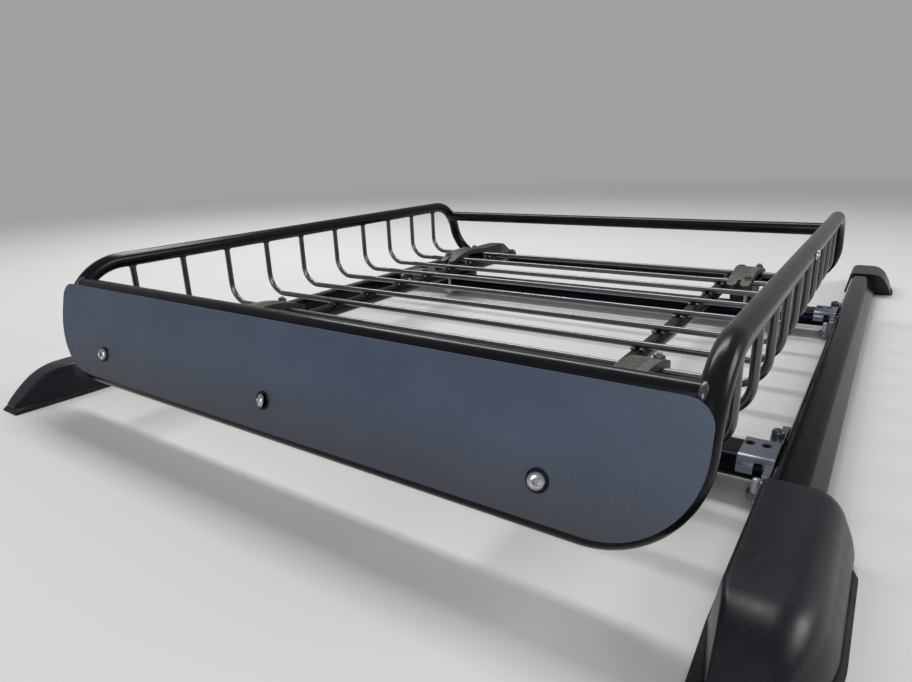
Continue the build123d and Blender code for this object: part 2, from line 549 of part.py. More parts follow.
# The arch is drawn past the fingers' tips, which the plan outline then cuts round
arch_reach = saddle_half_length + SADDLE_HALF_WIDTH
arch_end = saddle_top - SADDLE_DROOP * (arch_reach / saddle_half_length) ** 2
finger_width = SADDLE_HALF_WIDTH - FINGER_SLOT_W / 2
finger_offset = (SADDLE_HALF_WIDTH + FINGER_SLOT_W / 2) / 2
cradle_top = FLOOR_WIRE_Z - WIRE_D / 2
cradle_foot = CROSSBAR_Z + CROSSBAR_HEIGHT / 2
cradle_half_length = clamp_bolt_y - CLAMP_BOLT_D / 2 - CRADLE_CLEARANCE
strap_top = CROSSBAR_Z - CROSSBAR_HEIGHT / 2
nut_bottom = strap_top - STRAP_THICK - CLAMP_NUT_H
for end, side in CORNERS:
    x = SIDES[side] * saddle_x
    y = CLAMPS[end]
    bolt_x = SIDES[side] * (saddle_x + CLAMP_BOLT_SHIFT)
    bolt_places = [(bolt_x, y + k * clamp_bolt_y) for k in (-1, 1)]
    clamp_plane = Plane((x, y, 0), x_dir=(0, 1, 0), z_dir=(1, 0, 0))
    with BuildPart() as saddle:
        with BuildSketch(clamp_plane):
            with BuildLine():
                upper = ThreePointArc((-arch_reach, arch_end), (0, saddle_top), (arch_reach, arch_end))
                lower = ThreePointArc(
                    (-arch_reach, arch_end - SADDLE_THICK),
                    (0, saddle_top - SADDLE_THICK),
                    (arch_reach, arch_end - SADDLE_THICK),
                )
                Line(upper @ 0, lower @ 0)
                Line(upper @ 1, lower @ 1)
            make_face()
        extrude(amount=SADDLE_HALF_WIDTH + SEAT_GAP, both=True)
        with BuildSketch(Plane((x, y, 0))):
            with Locations((-finger_offset, 0), (finger_offset, 0)):
                SlotOverall(2 * saddle_half_length, finger_width, rotation=90)
            Rectangle(2 * finger_offset, 2 * (saddle_half_length - FINGER_SLOT_L))
        extrude(amount=saddle_top, mode=Mode.INTERSECT)
        with Locations(*[(x, y + k * WIRE_PITCH / 2, FLOOR_WIRE_Z) for k in (-1, 1)]):
            Cylinder(WIRE_D / 2 + SEAT_GAP, CUT_REACH, rotation=(0, 90, 0), mode=Mode.SUBTRACT)
        with Locations(*[(*place, wire_top) for place in bolt_places]):
            Cylinder(CLAMP_BOLT_D / 2 + SEAT_GAP, CUT_REACH, mode=Mode.SUBTRACT)
    save(saddle, f"clamp_saddle_{end}_{side}")
    with BuildPart() as cradle:
        with BuildSketch(clamp_plane):
            with BuildLine():
                Polyline(
                    (-CRADLE_FOOT_HALF - SADDLE_SHIFT, cradle_foot),
                    (CRADLE_FOOT_HALF - SADDLE_SHIFT, cradle_foot),
                    (cradle_half_length, cradle_top - CRADLE_SKIRT),
                    (cradle_half_length, cradle_top),
                    (-cradle_half_length, cradle_top),
                    (-cradle_half_length, cradle_top - CRADLE_SKIRT),
                    close=True,
                )
            make_face()
        extrude(amount=CRADLE_HALF_WIDTH, both=True)
    save(cradle, f"clamp_cradle_{end}_{side}")
    with BuildPart() as strap:
        with BuildSketch(Plane((bolt_x, y, strap_top - STRAP_THICK))):
            SlotOverall(2 * (clamp_bolt_y + STRAP_TIP), STRAP_WIDTH, rotation=90)
        extrude(amount=STRAP_THICK)
        for place in bolt_places:
            with BuildSketch(Plane((*place, nut_bottom))):
                Circle(CLAMP_BOLT_D / 2)
            extrude(amount=saddle_top - nut_bottom)
            with BuildSketch(Plane((*place, nut_bottom))):
                RegularPolygon(CLAMP_NUT_R, 6)
            extrude(amount=CLAMP_NUT_H)
    save(strap, f"clamp_strap_{end}_{side}")
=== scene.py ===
"""Looks of the roof rack with cargo basket: finishes, fasteners, welds, moulded covers, stage and light.

Sizes are millimetres, turned to the frame's metres where a mesh is made. The stage and the heights of a
low colour are in metres.
+X is the vehicle's left, -Y its front, +Z up.
"""

import logging
import math
from dataclasses import dataclass
from enum import Enum
from typing import Iterable, Optional, Sequence

import bmesh
import bpy
from bpy.types import ID, Material, Mesh, Node, NodeSocket, NodeTree, Object
from mathutils import Matrix, Vector


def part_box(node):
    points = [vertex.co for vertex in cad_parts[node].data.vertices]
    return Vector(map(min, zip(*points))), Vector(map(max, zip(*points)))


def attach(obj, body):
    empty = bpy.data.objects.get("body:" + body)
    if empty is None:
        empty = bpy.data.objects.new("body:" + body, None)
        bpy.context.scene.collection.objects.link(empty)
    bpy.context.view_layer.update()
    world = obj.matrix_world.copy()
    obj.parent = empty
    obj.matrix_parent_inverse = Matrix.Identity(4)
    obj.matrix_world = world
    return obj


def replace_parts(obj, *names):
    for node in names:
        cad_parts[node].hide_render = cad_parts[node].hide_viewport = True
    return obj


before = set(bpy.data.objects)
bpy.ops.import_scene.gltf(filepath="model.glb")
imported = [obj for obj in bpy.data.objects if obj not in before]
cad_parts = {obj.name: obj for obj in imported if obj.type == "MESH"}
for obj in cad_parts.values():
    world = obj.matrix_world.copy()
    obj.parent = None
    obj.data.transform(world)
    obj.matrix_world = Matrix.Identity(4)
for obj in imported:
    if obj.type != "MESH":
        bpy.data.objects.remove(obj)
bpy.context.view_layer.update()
LOG = logging.getLogger("roof_rack")
MM = 0.001
BOTH = (-1, 1)
SIDES = {"left": 1, "right": -1}
ENDS = {"front": -1, "rear": 1}
# The basket's tubes and the height of its rim, which the fairing's screws follow too
TUBE_R = 12.5
RIM_Z = 211.0
# Edges that turn by more than this are sharp, on turned pieces and on mouldings
TURNED_SHARP_DEG = 32.0
MOULDED_SHARP_DEG = 35.0
# A drill starts this far below the mouth of its hole; through a pad it ends as far above the cover's foot
DRILL_LEAD = 2.0
# The noise is turned off the tubes' axes, in radians, so that its own lattice draws no bands across them
NOISE_TURN = (0.61, 0.37, 0.83)
# The part of a noise's range, or for dust and painted sunlight of the upward lean, over which each layer
# comes in
MOTTLE_BAND = (0.4, 0.68)
SPECK_BAND = (0.68, 0.84)
WEAR_BAND = (0.3, 0.7)
DUST_AND_SUNLIGHT_BAND = (0.35, 1.0)
# Patches of dust and painted sunlight, and patches over which the gloss varies
DUST_AND_SUNLIGHT_MM = 9.0
WEAR_MM = 14.0
# A hexagon repeats every 60 degrees, so this spread to both sides gives it any turn
ANY_HEXAGON_TURN = 30.0


def linear(hex_colour: str) -> tuple[float, float, float, float]:
    """Turn an sRGB hex colour into linear RGBA.

    Args:
        hex_colour: colour such as "#1c1d1f".

    Returns:
        Linear red, green and blue, and an alpha of one.
    """
    channels = [int(hex_colour[k : k + 2], 16) / 255 for k in (1, 3, 5)]
    # The standard's own curve: straight below its knee, a power above it
    red, green, blue = (c / 12.92 if c <= 0.04045 else ((c + 0.055) / 1.055) ** 2.4 for c in channels)
    return red, green, blue, 1.0


def add_node(tree: NodeTree, kind: str, inputs: Optional[dict] = None, **settings: object) -> Node:
    """Add one node, set its properties, and fill or link its inputs.

    Args:
        tree: the node tree that gets the node.
        kind: Blender's name for the node type.
        inputs: socket name or number to a value, or to an output socket to link.
        settings: plain properties of the node.

    Returns:
        The new node.
    """
    node = tree.nodes.new(kind)
    for name, value in settings.items():
        setattr(node, name, value)
    for key, value in (inputs or {}).items():
        if isinstance(value, NodeSocket):
            tree.links.new(value, node.inputs[key])
        else:
            node.inputs[key].default_value = value
    return node


def bare_tree(owner: ID) -> NodeTree:
    """Switch on the nodes of a material or world and clear them.

    Args:
        owner: the material or world.

    Returns:
        Its empty tree.
    """
    owner.use_nodes = True
    owner.node_tree.nodes.clear()
    return owner.node_tree


def put(name: str, data: ID) -> Object:
    """Make an object of its data and link it to the scene.

    Args:
        name: the object's name.
        data: its mesh, camera or lamp.

    Returns:
        The object.
    """
    made = bpy.data.objects.new(name, data)
    bpy.context.scene.collection.objects.link(made)
    return made


class Facing(Enum):
    """The side of a surface that loose dust lies on, and that painted sunlight lightens."""

    NONE = 0
    UP = 1


@dataclass(frozen=True)
class Finish:
    """A real surface finish and the numbers that draw it.

    Sizes ending in _mm are those of the real surface; an amount runs from 0 to 1. The low colour comes in
    between two heights. Scratches are a depth in millimetres, with their number per metre along each axis.
    """

    name: str
    colour: str
    roughness: float
    metallic: float = 0.0
    coat: float = 0.0
    coat_roughness: float = 0.1
    specular: float = 0.5
    mottle_colour: str = "#000000"
    mottle_mm: float = 60.0
    mottle: float = 0.0
    grain_mm: float = 1.5
    grain_depth_mm: float = 0.0
    roughness_spread: float = 0.0
    speck_colour: str = "#ffffff"
    speck_mm: float = 1.2
    specks: float = 0.0
    dust_and_sunlit_colour: str = "#8d8981"
    dust_and_sunlight: float = 0.0
    facing: Facing = Facing.NONE
    low_colour: str = "#000000"
    low_from: float = 0.0
    low_to: float = 0.0
    low: float = 0.0
    scratches: float = 0.0
    scratch_stretch: tuple[float, float, float] = (1.0, 1.0, 1.0)

    @staticmethod
    def pattern(tree: NodeTree, mapping: dict, scale: float, detail: float) -> NodeSocket:
        """Add a noise on turned or stretched Object coordinates.

        Args:
            tree: the material's tree.
            mapping: the Mapping node's inputs.
            scale: the noise's repeats per metre, once mapped.
            detail: octaves of the noise.

        Returns:
            The pattern's value.
        """
        place = add_node(tree, "ShaderNodeTexCoord")
        mapped = add_node(tree, "ShaderNodeMapping", {"Vector": place.outputs["Object"], **mapping})
        inputs = {"Vector": mapped.outputs[0], "Scale": scale, "Detail": detail}
        return add_node(tree, "ShaderNodeTexNoise", inputs).outputs[0]

    def cloud(self, tree: NodeTree, size_mm: float, detail: float) -> NodeSocket:
        """Add a cloudy pattern of a real size in millimetres, of so many octaves."""
        return self.pattern(tree, {"Rotation": NOISE_TURN}, 1 / (size_mm * MM), detail)

    @staticmethod
    def layer(
        tree: NodeTree, under: object, colour: str, where: NodeSocket,
        band: tuple[float, float], amount: float, thinned_by: Optional[NodeSocket] = None,
    ) -> NodeSocket:
        """Lay a second colour over a first one where a value passes through a band.

        Args:
            tree: the material's tree.
            under: the linear colour below, or the socket that gives it.
            colour: sRGB hex of the layer.
            where: the value that brings the layer in.
            band: the values at which it begins and at which it is full.
            amount: its share where it is full.
            thinned_by: a second value that multiplies the share.

        Returns:
            The mixed colour.
        """
        spread = add_node(
            tree, "ShaderNodeMapRange",
            {"Value": where, "From Min": band[0], "From Max": band[1], "To Min": 0.0, "To Max": amount},
        )
        share = spread.outputs["Result"]
        if thinned_by is not None:
            product = add_node(tree, "ShaderNodeMath", {0: share, 1: thinned_by}, operation="MULTIPLY")
            share = product.outputs[0]
        # Sockets 6 and 7 and output 2 of a Mix node are the ones for colours
        mixed = add_node(tree, "ShaderNodeMix", {0: share, 6: under, 7: linear(colour)}, data_type="RGBA")
        return mixed.outputs[2]

    def colour_socket(self, tree: NodeTree) -> object:
        """Build the finish's colour from its layers.

        Args:
            tree: the material's tree.

        Returns:
            A linear colour, or the socket that gives it.
        """
        colour: object = linear(self.colour)
        if self.mottle:
            patches = self.cloud(tree, self.mottle_mm, detail=4.0)
            colour = self.layer(tree, colour, self.mottle_colour, patches, MOTTLE_BAND, self.mottle)
        if self.low:
            place = add_node(tree, "ShaderNodeTexCoord")
            height = add_node(tree, "ShaderNodeSeparateXYZ", {0: place.outputs["Object"]}).outputs["Z"]
            band = (self.low_from, self.low_to)
            colour = self.layer(tree, colour, self.low_colour, height, band, self.low)
        # Light specks: pepper in the fairing's coat, painted glints on the end caps
        if self.specks:
            cells = self.cloud(tree, self.speck_mm, detail=0.0)
            colour = self.layer(tree, colour, self.speck_colour, cells, SPECK_BAND, self.specks)
        # Upward faces take a lighter layer: dust, and painted sunlight
        if self.facing is Facing.UP:
            shape = add_node(tree, "ShaderNodeNewGeometry")
            upward = add_node(tree, "ShaderNodeSeparateXYZ", {0: shape.outputs["Normal"]}).outputs["Z"]
            patches = self.cloud(tree, DUST_AND_SUNLIGHT_MM, detail=6.0)
            colour = self.layer(tree, colour, self.dust_and_sunlit_colour, upward, DUST_AND_SUNLIGHT_BAND, self.dust_and_sunlight, patches)
        return colour

    def relief(self, tree: NodeTree) -> dict:
        """Build the finish's relief.

        Args:
            tree: the material's tree.

        Returns:
            The shader's normal under its socket's name, or nothing for a smooth finish.
        """
        heights = []
        if self.grain_depth_mm:
            heights.append((self.cloud(tree, self.grain_mm, detail=2.0), self.grain_depth_mm))
        if self.scratches:
            lines = self.pattern(tree, {"Scale": self.scratch_stretch}, scale=1.0, detail=3.0)
            heights.append((lines, self.scratches))
        normal: dict = {}
        for height, depth_mm in heights:
            inputs = {"Height": height, "Distance": depth_mm * MM, "Strength": 1.0, **normal}
            normal = {"Normal": add_node(tree, "ShaderNodeBump", inputs).outputs["Normal"]}
        return normal

    def build(self) -> Material:
        """Make the finish's material, once.

        Returns:
            The material.
        """
        if self.name in bpy.data.materials:
            return bpy.data.materials[self.name]
        material = bpy.data.materials.new(self.name)
        tree = bare_tree(material)
        inputs: dict = {
            "Base Color": self.colour_socket(tree),
            "Metallic": self.metallic,
            "Roughness": self.roughness,
            "Coat Weight": self.coat,
            "Coat Roughness": self.coat_roughness,
            "Specular IOR Level": self.specular,
            **self.relief(tree),
        }
        if self.roughness_spread:
            spread = add_node(
                tree, "ShaderNodeMapRange",
                {
                    "Value": self.cloud(tree, WEAR_MM, detail=5.0),
                    "From Min": WEAR_BAND[0],
                    "From Max": WEAR_BAND[1],
                    "To Min": self.roughness - self.roughness_spread,
                    "To Max": self.roughness + self.roughness_spread,
                },
            )
            inputs["Roughness"] = spread.outputs["Result"]
        shader = add_node(tree, "ShaderNodeBsdfPrincipled", inputs)
        add_node(tree, "ShaderNodeOutputMaterial", {"Surface": shader.outputs[0]})
        return material


# Polyester powder on steel tube: semi-gloss black with a soft orange peel
TUBE_POWDER_COAT = Finish(
    "semi_gloss_black_powder_coat", "#08090c", 0.23, specular=0.2, mottle_colour="#101217", mottle=0.6,
    grain_mm=4.0, grain_depth_mm=0.03, roughness_spread=0.04,
)
# The same powder on the thin rods, glossier where it flowed round them
WIRE_POWDER_COAT = Finish(
    "gloss_black_powder_coat", "#07080a", 0.3, specular=1.0, coat=1.0, coat_roughness=0.16,
    mottle_colour="#0e1013", mottle=0.5, roughness_spread=0.03,
)
# Powder-coated sheet aluminium, black: its slate-blue tone is a painted sky reflection; finely peppered,
# browner towards the bottom
FAIRING_COAT_AND_PAINTED_SKY = Finish(
    "black_powder_coated_sheet_painted_sky_reflection", "#3e4859", 0.42, specular=0.32, mottle_colour="#465062",
    mottle=0.55, mottle_mm=90.0, grain_mm=1.3, grain_depth_mm=0.03, roughness_spread=0.05,
    speck_colour="#9a9eaa", speck_mm=0.8, specks=0.14, low_colour="#3a3736", low_from=0.13, low_to=0.05,
    low=0.8,
)
# Injection-moulded black nylon of the hooks behind the fairing and of the clamps' cradles
CLIP_NYLON = Finish(
    "black_nylon", "#0c0d0e", 0.45, specular=0.3, grain_mm=1.2, grain_depth_mm=0.03,
    mottle_colour="#151617", mottle=0.4,
)
# Glass-filled nylon, a lighter warm grey on its upper side: dust, and painted sunlight
SADDLE_NYLON = Finish(
    "glass_filled_nylon_dust_and_painted_sunlight", "#201f1e", 0.46, specular=0.36, mottle_colour="#34312e", mottle=0.6,
    mottle_mm=14.0, grain_mm=1.6, grain_depth_mm=0.1, roughness_spread=0.08, dust_and_sunlit_colour="#8d887e",
    dust_and_sunlight=0.6, facing=Facing.UP,
)
# Extruded aluminium, black anodised: faint lines along the bar
CROSSBAR_ANODISED = Finish(
    "black_anodised_aluminium", "#0e1018", 0.32, metallic=1.0, mottle_colour="#151722", mottle=0.5,
    scratches=0.02, scratch_stretch=(8.0, 900.0, 900.0), roughness_spread=0.05,
)
# Die-cast aluminium under slate paint, its grey partly painted sunlight, with dust and painted sunlight on
# top: waves of the casting break its highlights
BRACKET_CASTING = Finish(
    "die_casting_paint_and_painted_sunlight", "#666b76", 0.25, metallic=0.6, mottle_colour="#787d88", mottle=0.35,
    mottle_mm=16.0, grain_mm=6.0, grain_depth_mm=0.12, roughness_spread=0.07, dust_and_sunlit_colour="#9a9ca1",
    dust_and_sunlight=0.15, facing=Facing.UP,
)
# Slate moulded knobs above, bare zinc cones below, in one node
KNOB_PLASTIC = Finish(
    "moulded_knobs_and_zinc_cones", "#3c4049", 0.26, metallic=0.4, mottle_colour="#4a4e57", mottle=0.5,
    mottle_mm=6.0, grain_mm=3.0, grain_depth_mm=0.06, low_colour="#a5a8ad", low_from=0.042,
    low_to=0.036, low=1.0,
)
# Extruded aluminium rail in gloss black paint with fine wash marks along it
RAIL_PAINT = Finish(
    "gloss_black_rail_paint", "#040505", 0.12, specular=0.1, mottle_colour="#090a0b", mottle=0.5,
    scratches=0.02, scratch_stretch=(700.0, 14.0, 700.0), roughness_spread=0.03,
)
# Moulded ABS end caps: satin black with a fine spark-eroded grain; their blue cast is a painted sky
# reflection and their light specks are painted glints
COVER_ABS = Finish(
    "textured_black_abs", "#060a11", 0.34, specular=0.34, mottle_colour="#0c131e", mottle=0.6,
    mottle_mm=45.0, grain_mm=1.2, grain_depth_mm=0.03, roughness_spread=0.04, speck_colour="#c9ccd2",
    speck_mm=1.0, specks=0.03,
)
# EPDM pad under each cap, greyed by weather
GASKET_RUBBER = Finish(
    "weathered_epdm_rubber", "#1d1e21", 0.8, specular=0.25, mottle_colour="#2f3033", mottle=0.7,
    mottle_mm=12.0, grain_mm=1.2, grain_depth_mm=0.08,
)
# Zinc-plated clamp straps with their bolts: dull silver with a cloudy passivation
ZINC_STEEL = Finish(
    "zinc_plated_steel", "#a7a8a6", 0.34, metallic=1.0, mottle_colour="#7d7c76", mottle=0.6,
    mottle_mm=4.0, roughness_spread=0.08,
)
# The same plating where weather has dulled it, on the clamps' nuts
DULL_ZINC = Finish(
    "weathered_zinc_steel", "#6f706f", 0.42, metallic=1.0, mottle_colour="#4c4b48", mottle=0.8,
    mottle_mm=4.0, roughness_spread=0.1,
)
# Stainless button heads on the fairing and the rim: bright, finely turned
STAINLESS = Finish(
    "stainless_steel", "#c4c5c6", 0.22, metallic=1.0, mottle_colour="#98989a", mottle=0.5,
    mottle_mm=3.0, roughness_spread=0.05,
)
# Black oxide washers and socket screws
BLACK_OXIDE = Finish(
    "black_oxide_steel", "#232324", 0.34, metallic=1.0, mottle_colour="#3a3a3b", mottle=0.5,
    mottle_mm=3.0,
)
# Weld metal under thin coat: brownish silver where the powder burnt off
WELD_METAL = Finish(
    "bare_weld_metal", "#8d867d", 0.4, metallic=1.0, mottle_colour="#5c4c42", mottle=0.85,
    mottle_mm=3.0, grain_mm=1.4, grain_depth_mm=0.15, roughness_spread=0.1,
)
# Weld beads that the powder covers thinly: the steel's grey shines through
COATED_WELD = Finish(
    "thinly_coated_weld", "#2a2c31", 0.25, specular=0.6, mottle_colour="#4a4d52", mottle=0.6,
    mottle_mm=5.0, grain_mm=3.0, grain_depth_mm=0.08,
)


@dataclass(frozen=True)
class Ring:
    """One ring of a turned shape: its radius and height, round or a hexagon across its flats."""

    radius: float
    height: float
    hexagon: bool = False

    def point(self, angle: float) -> Vector:
        """Return the ring's point at an angle in radians."""
        reach = self.radius / (math.cos((angle % (math.pi / 3)) - math.pi / 6) if self.hexagon else 1.0)
        return Vector((reach * math.cos(angle), reach * math.sin(angle), self.height))


def mesh_from(name: str, shape: bmesh.types.BMesh) -> Mesh:
    """Turn a finished shape into a mesh and free the shape.

    Args:
        name: the mesh's name.
        shape: the shape, in metres.

    Returns:
        The mesh, shaded smooth.
    """
    mesh = bpy.data.meshes.new(name)
    shape.to_mesh(mesh)
    shape.free()
    mesh.shade_smooth()
    return mesh


def skin(name: str, loops: Sequence[Sequence[Vector]], joined: bool = False) -> Mesh:
    """Join closed loops of equally many points into one closed mesh.

    Args:
        name: the mesh's name.
        loops: the loops in order, in millimetres.
        joined: whether the last loop meets the first; if not, both ends are capped.

    Returns:
        The mesh, in metres, shaded smooth.
    """
    shape = bmesh.new()
    rows = [[shape.verts.new(point * MM) for point in loop] for loop in loops]
    count = len(rows[0])
    for here, there in zip(rows, rows[1:] + rows[: int(joined)]):
        for k in range(count):
            shape.faces.new((here[k], here[(k + 1) % count], there[(k + 1) % count], there[k]))
    if not joined:
        shape.faces.new(rows[0])
        shape.faces.new(rows[-1])
    bmesh.ops.recalc_face_normals(shape, faces=shape.faces)
    return mesh_from(name, shape)


def turned(name: str, rings: Sequence[Ring], segments: int = 24) -> Mesh:
    """Make a closed shape of rings about the Z axis, in millimetres.

    Args:
        name: the mesh's name.
        rings: the rings from the bottom, outside, to the last one inside; both ends are capped.
        segments: points round each ring.

    Returns:
        The mesh, in metres, with sharp edges marked.
    """
    angles = [2 * math.pi * k / segments for k in range(segments)]
    mesh = skin(name, [[ring.point(angle) for angle in angles] for ring in rings])
    mesh.set_sharp_from_angle(angle=math.radians(TURNED_SHARP_DEG))
    return mesh


def weld_ring(name: str, radius_mm: float, bead_mm: float, ripples: int, waviness: float = 1.0) -> Mesh:
    """Make a weld bead round a tube: a closed ring with the ripples of a stacked weld.

    Args:
        name: the mesh's name.
        radius_mm: radius of the tube under the bead.
        bead_mm: width of the bead.
        ripples: number of ripples round it.
        waviness: share of the full ripple; a ground bead has little.

    Returns:
        The mesh, in metres, about the Z axis.
    """
    around, across = max(48, ripples * 4), 10
    # Shares of the bead: how far it stands out, its ripples, three slow swells and five drifts
    proud, ripple, swelling, drift = 0.42, 0.16, 0.08, 0.1
    loops = []
    for k in range(around):
        turn = 2 * math.pi * k / around
        swell = 1.0 + waviness * (ripple * math.cos(ripples * turn) + swelling * math.sin(3 * turn))
        width = 1.0 + waviness * drift * math.sin(5 * turn)
        loop = []
        for j in range(across):
            tilt = 2 * math.pi * j / across
            out = radius_mm + proud * bead_mm * swell * math.cos(tilt)
            rise = bead_mm / 2 * math.sin(tilt) * width
            loop.append(Vector((out * math.cos(turn), out * math.sin(turn), rise)))
        loops.append(loop)
    return skin(name, loops, joined=True)


def weld_nugget(name: str, length_mm: float, width_mm: float, height_mm: float) -> Mesh:
    """Make one short weld: a lumpy drop that lies along X.

    Args:
        name: the mesh's name.
        length_mm: size along X.
        width_mm: size along Y.
        height_mm: size along Z.

    Returns:
        The mesh, in metres.
    """
    shape = bmesh.new()
    bmesh.ops.create_icosphere(shape, subdivisions=3, radius=0.5)
    for vert in shape.verts:
        x, y, z = vert.co
        # Two crossing waves make the drop lumpy
        broad_wave = 0.12 * math.sin(14 * x + 3 * y)
        fine_wave = 0.07 * math.cos(11 * y - 5 * z)
        lump = 1.0 + broad_wave + fine_wave
        vert.co = Vector((x * length_mm, y * width_mm * lump, z * height_mm * lump)) * MM
    return mesh_from(name, shape)


@dataclass(frozen=True)
class Spot:
    """A place for a repeated piece: its point in millimetres and its turn as Euler angles in degrees."""

    x: float
    y: float
    z: float
    turn: tuple[float, float, float] = (0.0, 0.0, 0.0)


@dataclass(frozen=True)
class Repeater:
    """Sets one model on every spot of a layout with Geometry Nodes and makes the result a plain mesh."""

    name: str
    finish: Finish
    size_spread: float = 0.0
    turn_spread: float = 0.0
    seed: int = 1

    def tree(self) -> NodeTree:
        """Build the node tree, with its named inputs.

        Returns:
            The tree.
        """
        tree = bpy.data.node_groups.new(f"{self.name}_repeat", "GeometryNodeTree")
        tree.interface.new_socket("Geometry", in_out="OUTPUT", socket_type="NodeSocketGeometry")
        tree.interface.new_socket("Geometry", in_out="INPUT", socket_type="NodeSocketGeometry")
        for name, kind in (
            ("Model", "NodeSocketObject"),
            ("Finish", "NodeSocketMaterial"),
            ("Size spread", "NodeSocketFloat"),
            ("Turn spread", "NodeSocketFloat"),
            ("Seed", "NodeSocketInt"),
        ):
            tree.interface.new_socket(name, in_out="INPUT", socket_type=kind)
        given = add_node(tree, "NodeGroupInput").outputs
        model = add_node(
            tree, "GeometryNodeObjectInfo", {"Object": given["Model"]}, transform_space="ORIGINAL"
        )
        turn = add_node(tree, "GeometryNodeInputNamedAttribute", {"Name": "turn"}, data_type="FLOAT_VECTOR")
        low_turn = add_node(tree, "ShaderNodeMath", {0: given["Turn spread"], 1: -1.0}, operation="MULTIPLY")
        # Sockets 2 and 3 and output 1 of a Random Value node are the ones for plain numbers
        wobble = add_node(
            tree, "FunctionNodeRandomValue",
            {2: low_turn.outputs[0], 3: given["Turn spread"], "Seed": given["Seed"]}, data_type="FLOAT",
        )
        wobble_axis = add_node(tree, "ShaderNodeCombineXYZ", {"Z": wobble.outputs[1]})
        turned_by = add_node(
            tree, "ShaderNodeVectorMath", {0: turn.outputs[0], 1: wobble_axis.outputs[0]}, operation="ADD"
        )
        small = add_node(tree, "ShaderNodeMath", {0: 1.0, 1: given["Size spread"]}, operation="SUBTRACT")
        large = add_node(tree, "ShaderNodeMath", {0: 1.0, 1: given["Size spread"]}, operation="ADD")
        size = add_node(
            tree, "FunctionNodeRandomValue",
            {2: small.outputs[0], 3: large.outputs[0], "Seed": given["Seed"]}, data_type="FLOAT",
        )
        placed = add_node(
            tree, "GeometryNodeInstanceOnPoints",
            {
                "Points": given["Geometry"],
                "Instance": model.outputs["Geometry"],
                "Rotation": turned_by.outputs[0],
                "Scale": size.outputs[1],
            },
        )
        real = add_node(tree, "GeometryNodeRealizeInstances", {"Geometry": placed.outputs[0]})
        dressed = add_node(
            tree, "GeometryNodeSetMaterial", {"Geometry": real.outputs[0], "Material": given["Finish"]}
        )
        add_node(tree, "NodeGroupOutput", {"Geometry": dressed.outputs[0]})
        return tree

    def place(self, model: Mesh, spots: Sequence[Spot], slot: str) -> None:
        """Set the model on the spots and let the piece ride on the body.

        Args:
            model: mesh of one piece about the origin.
            spots: the places.
            slot: not used.
        """
        layout = bpy.data.meshes.new(f"{self.name}_layout")
        layout.from_pydata([Vector((spot.x, spot.y, spot.z)) * MM for spot in spots], [], [])
        turns = layout.attributes.new("turn", "FLOAT_VECTOR", "POINT")
        for item, spot in zip(turns.data, spots):
            item.vector = [math.radians(angle) for angle in spot.turn]
        template = put(f"{self.name}_model", model)
        holder = put(f"{self.name}_holder", layout)
        tree = self.tree()
        modifier = holder.modifiers.new("repeat", "NODES")
        modifier.node_group = tree
        values = {
            "Model": template,
            "Finish": self.finish.build(),
            "Size spread": self.size_spread,
            "Turn spread": math.radians(self.turn_spread),
            "Seed": self.seed,
        }
        for item in tree.interface.items_tree:
            if item.in_out == "INPUT" and item.name in values:
                modifier[item.identifier] = values[item.name]
        graph = bpy.context.evaluated_depsgraph_get()
        mesh = bpy.data.meshes.new_from_object(holder.evaluated_get(graph))
        holder.modifiers.remove(modifier)
        for one in (template, holder):
            bpy.data.objects.remove(one)
        add_piece(self.name, mesh, self.finish)


def add_piece(name: str, mesh: Mesh, finish: Finish) -> Object:
    """Turn a mesh into a piece of the part that rides on its body.

    Args:
        name: the piece's name.
        mesh: its mesh, already in place.
        finish: its finish.

    Returns:
        The piece.
    """
    mesh.name = name
    if not mesh.materials:
        mesh.materials.append(finish.build())
    piece = put(name, mesh)
    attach(piece, "root")
    LOG.info("%s: %d faces", name, len(mesh.polygons))
    return piece


def dress(names: Iterable[str], finish: Finish) -> None:
    """Give carried-over nodes their finish.

    Args:
        names: the nodes.
        finish: the finish for every slot of theirs.
    """
    material = finish.build()
    for name in names:
        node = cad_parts[name]
        if not node.material_slots:
            node.data.materials.append(material)
        for place in node.material_slots:
            place.material = material
        LOG.info("%s: %s", name, finish.name)


def nodes_named(*starts: str) -> list[str]:
    """Return the nodes whose names begin with one of the given words."""
    return [name for name in sorted(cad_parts) if name.startswith(starts)]


